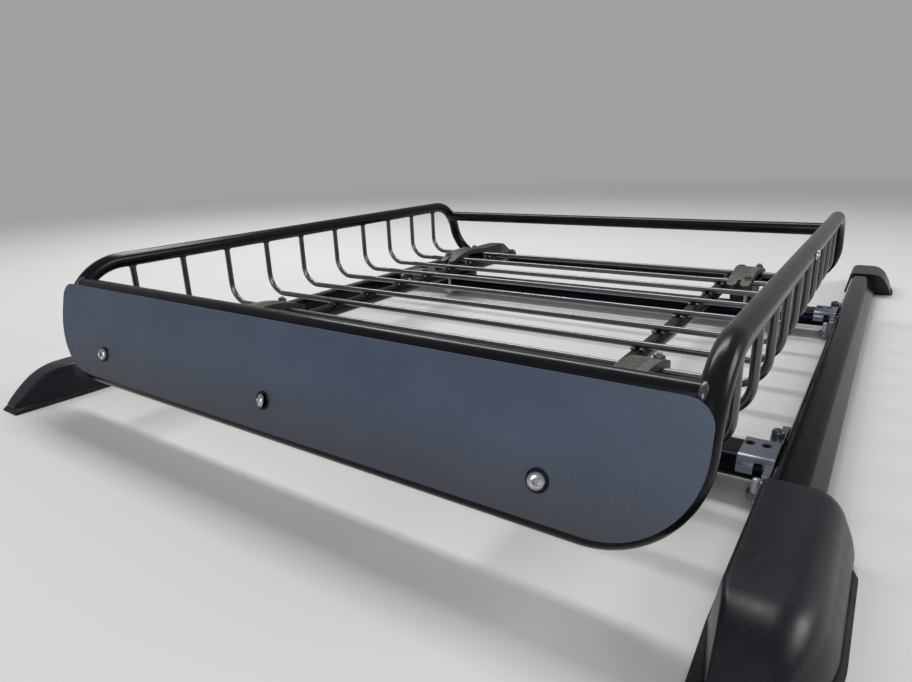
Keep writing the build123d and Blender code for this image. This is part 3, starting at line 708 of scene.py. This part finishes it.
@dataclass
class Basket:
    """The tube basket: its welds and joint screws. Lengths in millimetres."""

    side_x: float = 480.5
    rim_z: float = RIM_Z
    tube_r: float = TUBE_R
    wire_r: float = 5.0
    centre_y: float = -144.0
    wire_first: float = 51.0
    wire_pitch: float = 94.0
    wires_per_half: int = 5
    floor_tube_x: float = 301.0
    floor_wire_z: float = 95.0
    floor_weld_inset: float = 11.0
    cross_tube_y: float = 511.0
    cross_tube_z: float = 181.0
    end_member_y: float = 552.5
    corner_weld_x: float = 475.0
    corner_weld_sink: float = 1.2
    weld_gap: float = 13.0
    nugget_dy: float = 5.4
    nugget_drop: float = 0.4
    nugget_tilt: float = 14.0
    collar_drop: float = 0.2
    joint_screw_y: float = 13.0
    joint_screw_sink: float = 0.6

    def wire_rows(self) -> list[float]:
        """Return the y of every wire."""
        offsets = [self.wire_first + self.wire_pitch * k for k in range(self.wires_per_half)]
        return [self.centre_y + sign * offset for sign in BOTH for offset in offsets]

    def wire_welds(self) -> None:
        """Set the paired welds where each wire crosses a floor tube."""
        z = self.floor_wire_z - self.wire_r - self.nugget_drop
        spots = []
        for y in self.wire_rows():
            for side in BOTH:
                for pair in BOTH:
                    x = side * self.floor_tube_x + pair * self.weld_gap / 2
                    turn = (0.0, self.nugget_tilt * pair, 0.0)
                    spots += [Spot(x, y + way * self.nugget_dy, z, turn) for way in BOTH]
        nugget = weld_nugget("nugget", length_mm=7.5, width_mm=5.0, height_mm=4.4)
        maker = Repeater("wire_welds", WELD_METAL, size_spread=0.22, turn_spread=16.0, seed=7)
        maker.place(nugget, spots, "zinc_steel")

    def wire_collars(self) -> None:
        """Set the small weld round each wire's end under the rim."""
        z = self.rim_z - self.tube_r - self.collar_drop
        spots = [Spot(side * self.side_x, y, z) for y in self.wire_rows() for side in BOTH]
        collar = weld_ring("collar", self.wire_r, bead_mm=3.4, ripples=9)
        maker = Repeater("wire_collars", COATED_WELD, size_spread=0.06, turn_spread=180.0, seed=3)
        maker.place(collar, spots, "tube_powder_coat")

    def tube_welds(self) -> None:
        """Set the weld beads round the ends of the floor tubes."""
        y = self.end_member_y - self.floor_weld_inset
        z = self.floor_wire_z - self.wire_r - self.tube_r
        spots = [
            Spot(side * self.floor_tube_x, self.centre_y + end * y, z, (90.0, 0.0, 0.0))
            for end in BOTH for side in BOTH
        ]
        bead = weld_ring("bead", self.tube_r, bead_mm=4.2, ripples=22)
        Repeater("tube_welds", COATED_WELD, seed=5).place(bead, spots, "tube_powder_coat")

    def corner_welds(self) -> None:
        """Set the wide, smoothly ground beads where the upper cross tubes meet the corner bends."""
        x, y, z = self.corner_weld_x, self.cross_tube_y, self.cross_tube_z
        spots = [
            Spot(side * x, self.centre_y + end * y, z, (0.0, 90.0, 0.0)) for end in BOTH for side in BOTH
        ]
        radius = self.tube_r - self.corner_weld_sink
        bead = weld_ring("corner_bead", radius, bead_mm=8.0, ripples=9, waviness=0.15)
        Repeater("corner_welds", COATED_WELD, seed=11).place(bead, spots, "tube_powder_coat")

    def joint_screws(self) -> None:
        """Set the button-head screws on both sides of each rim seam."""
        x = self.side_x + self.tube_r - self.joint_screw_sink
        spots = [
            Spot(side * x, self.centre_y + way * self.joint_screw_y, self.rim_z, (0.0, 90.0 * side, 0.0))
            for side in BOTH for way in BOTH
        ]
        screw = button_head("joint_screw", radius=5.2, height=3.0, socket=1.9)
        maker = Repeater("rim_joint_screws", STAINLESS, turn_spread=ANY_HEXAGON_TURN, seed=2)
        maker.place(screw, spots, "zinc_steel")

    def build(self) -> None:
        """Dress the basket's nodes and add its pieces."""
        dress(nodes_named("side_tube", "corner", "end_member", "cross_tube", "floor_tube"), TUBE_POWDER_COAT)
        dress(nodes_named("wire_"), WIRE_POWDER_COAT)
        self.wire_welds()
        self.wire_collars()
        self.tube_welds()
        self.corner_welds()
        self.joint_screws()


def button_head(name: str, radius: float, height: float, socket: float) -> Mesh:
    """Make a domed screw head with a hexagon socket, its seat at z = 0.

    Args:
        name: the mesh's name.
        radius: the head's radius in millimetres.
        height: its height.
        socket: half of the socket's width across its flats.

    Returns:
        The mesh.
    """
    # Shares of the head: the height of its straight rim, and how far the dome draws in
    rim, draw_in = 0.22, 0.55
    steps = 5
    rings = [Ring(radius * 0.9, -0.4), Ring(radius, 0.0), Ring(radius, height * rim)]
    for k in range(1, steps):
        tilt = math.radians(90 * k / steps)
        out = radius * (1 - (1 - math.cos(tilt)) * draw_in)
        rings.append(Ring(out, height * (rim + (1 - rim) * math.sin(tilt))))
    # The socket: a rounded mouth, then a hexagon down to its floor
    rings += [
        Ring(socket * 1.28, height * 0.99),
        Ring(socket * 1.06, height * 0.92, hexagon=True),
        Ring(socket, height * 0.85, hexagon=True),
        Ring(socket, height * 0.2, hexagon=True),
    ]
    return turned(name, rings)


@dataclass
class Fairing:
    """The wind fairing: its three screws. Lengths in millimetres."""

    lean_deg: float = 14.3
    bolt_x: float = 356.0
    bolt_down: float = 120.0
    thick: float = 3.0
    root_y: float = -658.0
    rim_z: float = RIM_Z
    tube_r: float = TUBE_R
    washer_r: float = 11.0
    washer_h: float = 1.6
    washer_edge: float = 0.4
    washer_bore_r: float = 4.0

    def bolt_row(self, rise: float) -> list[Spot]:
        """Find the three bolts' places, a given rise above the plate's front face.

        Args:
            rise: distance in front of the face.

        Returns:
            The places, turned to face out of the plate.
        """
        lean = math.radians(self.lean_deg)
        out = self.tube_r + self.thick + rise
        y = self.root_y - self.bolt_down * math.sin(lean) - out * math.cos(lean)
        z = self.rim_z - self.bolt_down * math.cos(lean) + out * math.sin(lean)
        return [Spot(k * self.bolt_x, y, z, (90.0 - self.lean_deg, 0.0, 0.0)) for k in (-1, 0, 1)]

    def washer(self) -> Mesh:
        """Return a washer, turned from its seat over its rim to the foot of its bore."""
        rim, top, edge, bore = self.washer_r, self.washer_h, self.washer_edge, self.washer_bore_r
        return turned("washer", [
            Ring(rim - edge, -0.1), Ring(rim, 0.3), Ring(rim, top - edge),
            Ring(rim - 0.5, top), Ring(bore, top), Ring(bore, 0.2),
        ], segments=36)

    def build(self) -> None:
        """Dress the plate and its hooks and add the screws."""
        dress(["fairing_plate"], FAIRING_COAT_AND_PAINTED_SKY)
        dress(nodes_named("fairing_clip"), CLIP_NYLON)
        maker = Repeater("fairing_washers", BLACK_OXIDE, seed=4)
        maker.place(self.washer(), self.bolt_row(0.0), "zinc_steel")
        head = button_head("fairing_screw", radius=8.6, height=5.0, socket=2.9)
        maker = Repeater("fairing_screws", STAINLESS, turn_spread=ANY_HEXAGON_TURN, seed=9)
        maker.place(head, self.bolt_row(self.washer_h), "zinc_steel")


def arched_rib(name: str, half_length: float, droop: float, width: float, height: float) -> Mesh:
    """Make one low rounded rib that lies along Y on a falling arch, its middle at the origin.

    Args:
        name: the mesh's name.
        half_length: half of its length in millimetres.
        droop: how far the arch has fallen at its ends.
        width: the rib's width.
        height: how far it stands out.

    Returns:
        The mesh.
    """
    # Across the rib from foot to foot, in shares of its width and height
    profile = ((-0.5, -0.6), (-0.4, 0.5), (-0.15, 1.0), (0.15, 1.0), (0.4, 0.5), (0.5, -0.6))
    steps, end_share = 14, 0.25
    loops = []
    for k in range(steps + 1):
        along = -half_length + 2 * half_length * k / steps
        fall = -droop * (along / half_length) ** 2
        rise = height * (end_share if k in (0, steps) else 1.0)
        loops.append([Vector((x * width, along, fall + z * rise)) for x, z in profile])
    return skin(name, loops)


@dataclass
class Clamps:
    """The basket clamps: saddle ribs, and nuts on the through bolts. Lengths in millimetres."""

    saddle_x: float = 342.0
    saddle_top: float = 114.0
    saddle_half_length: float = 89.0
    saddle_droop: float = 18.0
    rib_half_length: float = 50.0
    rib_width: float = 2.2
    rib_height: float = 0.9
    rib_offsets: tuple[float, ...] = (-18.0, -13.5, -9.0, -4.5, 0.0, 4.5)
    bolt_x: float = 354.0
    bolt_dy: float = 61.0
    rows: tuple[float, float] = (-430.0, 236.0)
    seat_z: float = 105.4
    nut_tilt: float = 13.2

    def nuts(self) -> None:
        """Set a flange nut on every through bolt, leaning outwards with the saddle's arch."""
        spots = [
            Spot(side * self.bolt_x, row + way * self.bolt_dy, self.seat_z, (-way * self.nut_tilt, 0.0, 0.0))
            for row in self.rows for side in BOTH for way in BOTH
        ]
        # The flange, the hexagon, its chamfer, and the end of the bolt
        rings = [
            Ring(8.6, 0.0), Ring(8.8, 0.6), Ring(8.4, 1.3), Ring(7.0, 1.9),
            Ring(6.5, 2.1, hexagon=True), Ring(6.5, 5.2, hexagon=True), Ring(6.1, 5.8, hexagon=True),
            Ring(5.0, 6.0), Ring(4.1, 5.7), Ring(3.9, 7.2), Ring(3.2, 7.8),
        ]
        maker = Repeater("clamp_nuts", DULL_ZINC, turn_spread=ANY_HEXAGON_TURN, seed=6)
        maker.place(turned("flange_nut", rings), spots, "zinc_steel")

    def ribs(self) -> None:
        """Lay the fine grip ribs along the top of every saddle."""
        droop = self.saddle_droop * (self.rib_half_length / self.saddle_half_length) ** 2
        model = arched_rib("rib", self.rib_half_length, droop, self.rib_width, self.rib_height)
        spots = [
            Spot(side * (self.saddle_x + offset), row, self.saddle_top)
            for row in self.rows for side in BOTH for offset in self.rib_offsets
        ]
        Repeater("saddle_ribs", SADDLE_NYLON, seed=12).place(model, spots, "saddle_plastic")

    def build(self) -> None:
        """Dress the clamps and add their nuts and ribs."""
        dress(nodes_named("clamp_saddle"), SADDLE_NYLON)
        dress(nodes_named("clamp_cradle"), CLIP_NYLON)
        dress(nodes_named("clamp_strap"), ZINC_STEEL)
        self.nuts()
        self.ribs()


@dataclass
class Brackets:
    """The crossbars and their end brackets: the cap screws. Lengths in millimetres."""

    screw_xs: tuple[float, float] = (478.05, 494.55)
    screw_dy: float = 7.0
    pocket_z: float = 48.8
    rows: tuple[float, float] = (-445.5, 220.5)

    def build(self) -> None:
        """Dress the crossbars and brackets and add the cap screws."""
        dress(nodes_named("crossbar"), CROSSBAR_ANODISED)
        dress(nodes_named("end_bracket"), BRACKET_CASTING)
        dress(nodes_named("bracket_knobs"), KNOB_PLASTIC)
        spots = [
            Spot(side * x, row + self.screw_dy, self.pocket_z)
            for row in self.rows for side in BOTH for x in self.screw_xs
        ]
        screw = button_head("cap_screw", radius=4.6, height=1.6, socket=2.9)
        maker = Repeater("bracket_cap_screws", BLACK_OXIDE, turn_spread=ANY_HEXAGON_TURN, seed=8)
        maker.place(screw, spots, "zinc_steel")


def fillet_points(before: Vector, corner: Vector, after: Vector, radius: float, steps: int) -> list[Vector]:
    """Round one corner of an outline.

    Args:
        before: the outline's point before the corner.
        corner: the corner.
        after: the point after it.
        radius: the rounding's radius.
        steps: the number of its segments.

    Returns:
        The points of the rounding, in order.
    """
    back, ahead = (before - corner).normalized(), (after - corner).normalized()
    half = back.angle(ahead) / 2
    centre = corner + (back + ahead).normalized() * (radius / math.sin(half))
    first = corner + back * (radius / math.tan(half)) - centre
    last = corner + ahead * (radius / math.tan(half)) - centre
    whole = first.angle(last)
    points = []
    for k in range(steps + 1):
        part = whole * k / steps
        points.append(centre + (math.sin(whole - part) * first + math.sin(part) * last) / math.sin(whole))
    return points


def drilled(mesh: Mesh, holes: Sequence[Vector], radius: float, depth: float) -> Mesh:
    """Drill holes into a mesh from below, blind ones or right through it.

    Args:
        mesh: the closed mesh, in metres.
        holes: the holes' mouths, in millimetres.
        radius: the holes' radius in millimetres.
        depth: their depth in millimetres.

    Returns:
        The drilled mesh, smooth with sharp edges marked.
    """
    body = put("drilled_body", mesh)
    drills = []
    for hole in holes:
        drill_mesh = turned("drill", [Ring(radius, -DRILL_LEAD), Ring(radius, depth)])
        drill_mesh.transform(Matrix.Translation(hole * MM))
        drill = put("drill", drill_mesh)
        drills.append(drill)
        cut = body.modifiers.new("hole", "BOOLEAN")
        cut.operation = "DIFFERENCE"
        cut.object = drill
    result = bpy.data.meshes.new_from_object(body.evaluated_get(bpy.context.evaluated_depsgraph_get()))
    for one in (body, *drills):
        bpy.data.objects.remove(one)
    result.shade_smooth()
    result.set_sharp_from_angle(angle=math.radians(MOULDED_SHARP_DEG))
    return result


@dataclass(frozen=True)
class Site:
    """Where one end cover stands: the signs of its end and its side, and its box in millimetres."""

    end_sign: int
    side_sign: int
    inner: float
    toe: float
    width: float
    length: float
    top: float

    @classmethod
    def of_box(cls, end: str, side: str, low: Vector, high: Vector) -> "Site":
        """Read the site from the box of the cover's node.

        Args:
            end: front or rear.
            side: left or right.
            low: the box's lowest corner.
            high: its highest corner.

        Returns:
            The site.
        """
        inner = min(abs(low.x), abs(high.x))
        toe = max(abs(low.y), abs(high.y))
        return cls(ENDS[end], SIDES[side], inner, toe, high.x - low.x, high.y - low.y, high.z)

    def point(self, across: float, along: float, z: float) -> Vector:
        """Return the point at a distance from the inner edge, a distance from the toe, and a height."""
        return Vector((self.side_sign * (self.inner + across), self.end_sign * (self.toe - along), z))


@dataclass
class Rails:
    """The side rails with their moulded end covers and pads. Lengths in millimetres.

    The covers and pads are drawn here with the drawn-in toe and the wide outer rounding of the real ones.
    """

    foot_z: float = 6.5
    toe_wall: float = 3.0
    toe_round: float = 0.8
    inner_draft: float = 8.0
    outer_draft: float = 18.0
    inner_r: float = 6.0
    inner_steps: int = 6
    outer_r: float = 32.0
    outer_steps: int = 14
    outer_r_power: float = 1.3
    flank_bulge: float = 1.5
    flank_steps: int = 8
    outer_narrowing: float = 47.0
    inner_taper: float = 17.0
    taper_length: float = 94.0
    toe_curve: float = 108.0
    first_station: float = 2.5
    station_pitch: float = 3.0
    straight_stations: int = 18
    ramp_deg: float = 37.0
    ramp_blend_r: float = 80.0
    heel_slope: float = 0.4815
    heel_run: float = 90.0
    lip: float = 1.2
    lip_knee: tuple[float, float] = (0.35, 0.3)
    pad_inner_edge: float = 2.0
    pad_edge: float = 5.0
    pad_edge_z: float = 0.8
    pad_top_edge: float = 1.2
    pad_gap: float = 0.05
    pad_taper: float = 4.0
    pad_corner_r: float = 9.0
    pad_corner_steps: int = 6
    pad_curve_steps: int = 20
    stud_r: float = 4.25
    stud_across: float = 44.0
    stud_depth: float = 20.0
    front_studs: tuple[float, float] = (105.0, 185.0)
    rear_studs: tuple[float, float] = (65.0, 115.0)

    def outer_inset(self, along: float, edge: float = 0.0) -> float:
        """Find how far the outer side has curved in.

        Args:
            along: distance from the toe.
            edge: how far the outline stands out of the cover's own.

        Returns:
            The distance inwards.
        """
        run = self.toe_curve + edge
        bend = (self.outer_narrowing**2 + run**2) / (2 * self.outer_narrowing)
        return bend - math.sqrt(bend**2 - max(0.0, self.toe_curve - along) ** 2)

    def ramp_z(self, along: float, top: float) -> float:
        """Find the ramp's height under a level top.

        Args:
            along: distance from the toe.
            top: the height of the level top.

        Returns:
            The height.
        """
        ramp = math.radians(self.ramp_deg)
        drop = self.ramp_blend_r * (1 - math.cos(ramp))
        start = (top - self.foot_z - self.toe_wall - drop) / math.tan(ramp)
        end = start + self.ramp_blend_r * math.sin(ramp)
        if along <= start:
            return self.foot_z + self.toe_wall + along * math.tan(ramp)
        if along >= end:
            return top
        return top - self.ramp_blend_r + math.sqrt(self.ramp_blend_r**2 - (end - along) ** 2)

    def section(self, along: float, width: float, full_top: float, shrink: float) -> list[Vector]:
        """Draw the cover's outline across itself, as points of (across, height).

        Args:
            along: distance from the toe.
            width: the cover's full width.
            full_top: the height of its level top.
            shrink: how far the outline is drawn in, for a rounded end.

        Returns:
            The outline's points, in order.
        """
        top = self.ramp_z(along, full_top) - shrink
        share = (top - self.foot_z) / (full_top - self.foot_z)
        left = self.inner_taper * max(0.0, 1 - along / self.taper_length) + shrink
        right = width - self.outer_inset(along) - shrink
        foot_in, foot_out = Vector((left, self.foot_z)), Vector((right, self.foot_z))
        top_in = Vector((left + self.inner_draft * share, top))
        top_out = Vector((right - self.outer_draft * share, top))
        outer_r = self.outer_r * share**self.outer_r_power
        points = [foot_in]
        points += fillet_points(foot_in, top_in, top_out, self.inner_r * share, self.inner_steps)
        points += fillet_points(top_in, top_out, foot_out, outer_r, self.outer_steps)
        flank_top = points[-1].copy()
        for k in range(1, self.flank_steps + 1):
            part = k / self.flank_steps
            # A parabola that is fullest half way down the flank
            bulge = self.flank_bulge * share * 4 * part * (1 - part)
            points.append(flank_top.lerp(foot_out, part) + Vector((bulge, 0.0)))
        return points

    def stations(self, length: float) -> list[tuple[float, float]]:
        """List the cover's sections, as pairs of the distance from the toe and the drawing in.

        Args:
            length: the cover's length.

        Returns:
            The pairs: close together along the curved toe, then wider apart up to the lip.
        """
        curved = range(int(self.toe_curve / self.station_pitch))
        pairs = [(0.0, self.toe_round), (self.toe_round, 0.0)]
        pairs += [(self.first_station + self.station_pitch * k, 0.0) for k in curved]
        start = pairs[-1][0]
        run = length - self.lip - start
        count = self.straight_stations
        pairs += [(start + run * k / count, 0.0) for k in range(1, count + 1)]
        before, drawn_in = self.lip_knee
        return pairs + [(length - self.lip * before, self.lip * drawn_in), (length, self.lip)]

    def holes(self, site: Site, end: str, mouth_z: float) -> list[Vector]:
        """Return the mouths of one end's stud holes at a height."""
        studs = self.front_studs if end == "front" else self.rear_studs
        return [site.point(self.stud_across, stud, mouth_z) for stud in studs]

    def cover(self, end: str, side: str) -> None:
        """Build one cover in the place of its node.

        Args:
            end: front or rear.
            side: left or right.
        """
        node = f"end_cover_{end}_{side}"
        low, high = (Vector(corner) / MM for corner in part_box(node))
        site = Site.of_box(end, side, low, high)
        loops = []
        for along, shrink in self.stations(site.length):
            # The heel leans over more and more along its run
            lean = min(1.0, max(0.0, (along - site.length + self.heel_run) / self.heel_run))
            loops.append([
                site.point(x, along - lean * self.heel_slope * (site.top - z), z)
                for x, z in self.section(along, site.width, site.top, shrink)
            ])
        holes = self.holes(site, end, self.foot_z)
        mesh = drilled(skin(node, loops), holes, self.stud_r, self.stud_depth - self.foot_z)
        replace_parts(add_piece(f"moulded_{node}", mesh, COVER_ABS), node)

    def pad_outline(self, inner_edge: float, outer_edge: float, width: float, stop: float) -> list[Vector]:
        """Draw the pad's plan outline, as points of (across, distance from the cover's toe).

        Args:
            inner_edge: how far it stands out inboard.
            outer_edge: how far it stands out at the toe and outboard.
            width: the cover's full width.
            stop: distance at which the pad ends.

        Returns:
            The outline's points, in order.
        """
        points = [Vector((-inner_edge, stop)), Vector((-inner_edge, self.taper_length))]
        points.append(Vector((self.pad_taper - inner_edge, -outer_edge)))
        for k in range(self.pad_curve_steps + 1):
            along = -outer_edge + (self.toe_curve + outer_edge) * k / self.pad_curve_steps
            points.append(Vector((width + outer_edge - self.outer_inset(along, outer_edge), along)))
        outer_corner = Vector((width + outer_edge, stop))
        points += fillet_points(points[-1], outer_corner, points[0], self.pad_corner_r, self.pad_corner_steps)
        return points

    def pad(self, end: str, side: str) -> None:
        """Build one pad in the place of its node.

        Args:
            end: front or rear.
            side: left or right.
        """
        node = f"cover_gasket_{end}_{side}"
        low, high = (Vector(corner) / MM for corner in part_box(node))
        cover_low, cover_high = (Vector(corner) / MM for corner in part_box(f"end_cover_{end}_{side}"))
        site = Site.of_box(end, side, cover_low, cover_high)
        stop = site.toe - min(abs(low.y), abs(high.y))
        loops = []
        for inner_edge, edge, z in (
            (self.pad_inner_edge, self.pad_edge, 0.0),
            (self.pad_inner_edge, self.pad_edge, self.pad_edge_z),
            (self.pad_top_edge, self.pad_top_edge, self.foot_z - self.pad_gap),
        ):
            outline = self.pad_outline(inner_edge, edge, site.width, stop)
            loops.append([site.point(x, along, z) for x, along in outline])
        mesh = drilled(skin(node, loops), self.holes(site, end, 0.0), self.stud_r, self.foot_z + DRILL_LEAD)
        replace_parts(add_piece(f"moulded_{node}", mesh, GASKET_RUBBER), node)

    def build(self) -> None:
        """Dress the rails and build the covers and pads."""
        dress(nodes_named("side_rail"), RAIL_PAINT)
        for end in ENDS:
            for side in SIDES:
                self.cover(end, side)
                self.pad(end, side)


@dataclass(frozen=True)
class Lamp:
    """One soft lamp: its place and aim in metres, its width and height, and its power in watts."""

    name: str
    place: tuple[float, float, float]
    aim: tuple[float, float, float]
    size: tuple[float, float]
    power: float

    def hang(self) -> None:
        """Hang the lamp at its place, turned to its aim."""
        data = bpy.data.lights.new(self.name, "AREA")
        data.shape = "RECTANGLE"
        data.size, data.size_y = self.size
        data.energy = self.power
        turn = (Vector(self.aim) - Vector(self.place)).to_track_quat("-Z", "Y")
        put(self.name, data).matrix_world = Matrix.Translation(self.place) @ turn.to_matrix().to_4x4()


@dataclass
class Studio:
    """The stage: floor, soft light and the photographer's camera. Lengths in metres."""

    eye: tuple[float, float, float] = (0.5761, -1.1261, 0.3714)
    yaw_deg: float = 35.2
    pitch_deg: float = 17.21
    roll_deg: float = -2.24
    lens_mm: float = 24.8
    sensor_mm: float = 36.0
    nearest: float = 0.02
    floor_half: float = 40.0
    floor_colour: str = "#c8c8c6"
    floor_roughness: float = 0.9
    sweep_from: float = 1.6
    sweep_to: float = 6.0
    backdrop_colour: str = "#f1f2f4"
    world_level: float = 0.4
    # The key is as long as the wires' mirror image of it, so that its line of light runs on along them
    lamps: tuple[Lamp, ...] = (
        Lamp("key_strip", (-1.2, 0.8, 2.6), (-1.2, -0.2, 0.1), (3.2, 0.6), 76.0),
        Lamp("side_softbox", (3.0, 0.9, 1.6), (0.0, -0.2, 0.1), (1.4, 1.2), 36.0),
        Lamp("front_softbox", (0.7, -3.2, 1.4), (0.0, -0.2, 0.1), (1.2, 1.2), 42.0),
    )

    def camera(self) -> None:
        """Set the camera where the photograph was taken."""
        yaw, pitch, roll = (math.radians(v) for v in (self.yaw_deg, self.pitch_deg, self.roll_deg))
        ahead = Vector((-math.sin(yaw) * math.cos(pitch), math.cos(yaw) * math.cos(pitch), -math.sin(pitch)))
        right = Vector((math.cos(yaw), math.sin(yaw), 0.0))
        up = right.cross(ahead)
        right_turned = math.cos(roll) * right + math.sin(roll) * up
        up_turned = math.cos(roll) * up - math.sin(roll) * right
        data = bpy.data.cameras.new("photo_camera")
        data.sensor_width = self.sensor_mm
        data.lens = self.lens_mm
        data.clip_start = self.nearest
        camera = put("photo_camera", data)
        turn = Matrix((right_turned, up_turned, -ahead)).transposed()
        camera.matrix_world = Matrix.Translation(self.eye) @ turn.to_4x4()
        bpy.context.scene.camera = camera

    def floor(self) -> None:
        """Lay the pale floor, which sweeps into the backdrop's colour with distance."""
        h = self.floor_half
        mesh = bpy.data.meshes.new("floor")
        mesh.from_pydata([(-h, -h, 0), (h, -h, 0), (h, h, 0), (-h, h, 0)], [], [(0, 1, 2, 3)])
        material = bpy.data.materials.new("studio_floor")
        tree = bare_tree(material)
        near = add_node(
            tree, "ShaderNodeBsdfPrincipled",
            {"Base Color": linear(self.floor_colour), "Roughness": self.floor_roughness},
        )
        far = add_node(
            tree, "ShaderNodeEmission", {"Color": linear(self.backdrop_colour), "Strength": self.world_level}
        )
        place = add_node(tree, "ShaderNodeTexCoord")
        reach = add_node(tree, "ShaderNodeVectorMath", {0: place.outputs["Object"]}, operation="LENGTH")
        share = add_node(
            tree, "ShaderNodeMapRange",
            {"Value": reach.outputs["Value"], "From Min": self.sweep_from, "From Max": self.sweep_to},
            interpolation_type="SMOOTHSTEP",
        )
        inputs = {0: share.outputs[0], 1: near.outputs[0], 2: far.outputs[0]}
        swept = add_node(tree, "ShaderNodeMixShader", inputs)
        add_node(tree, "ShaderNodeOutputMaterial", {"Surface": swept.outputs[0]})
        mesh.materials.append(material)
        floor = put("floor", mesh)

    def world(self) -> None:
        """Light everything evenly from a plain pale world, which is also the backdrop."""
        world = bpy.data.worlds.new("studio")
        tree = bare_tree(world)
        inputs = {"Color": linear(self.backdrop_colour), "Strength": self.world_level}
        plain = add_node(tree, "ShaderNodeBackground", inputs)
        add_node(tree, "ShaderNodeOutputWorld", {"Surface": plain.outputs[0]})
        bpy.context.scene.world = world

    def build(self) -> None:
        """Set up the whole stage."""
        bpy.context.scene.view_settings.view_transform = "Standard"
        self.camera()
        self.floor()
        self.world()
        for lamp in self.lamps:
            lamp.hang()


def main() -> None:
    """Build every sub-assembly."""
    logging.basicConfig(level=logging.INFO, format="%(name)s %(message)s")
    Studio().build()
    for assembly in (Basket(), Fairing(), Clamps(), Brackets(), Rails()):
        assembly.build()
    bpy.context.view_layer.update()


if __name__ == "__main__":
    main()
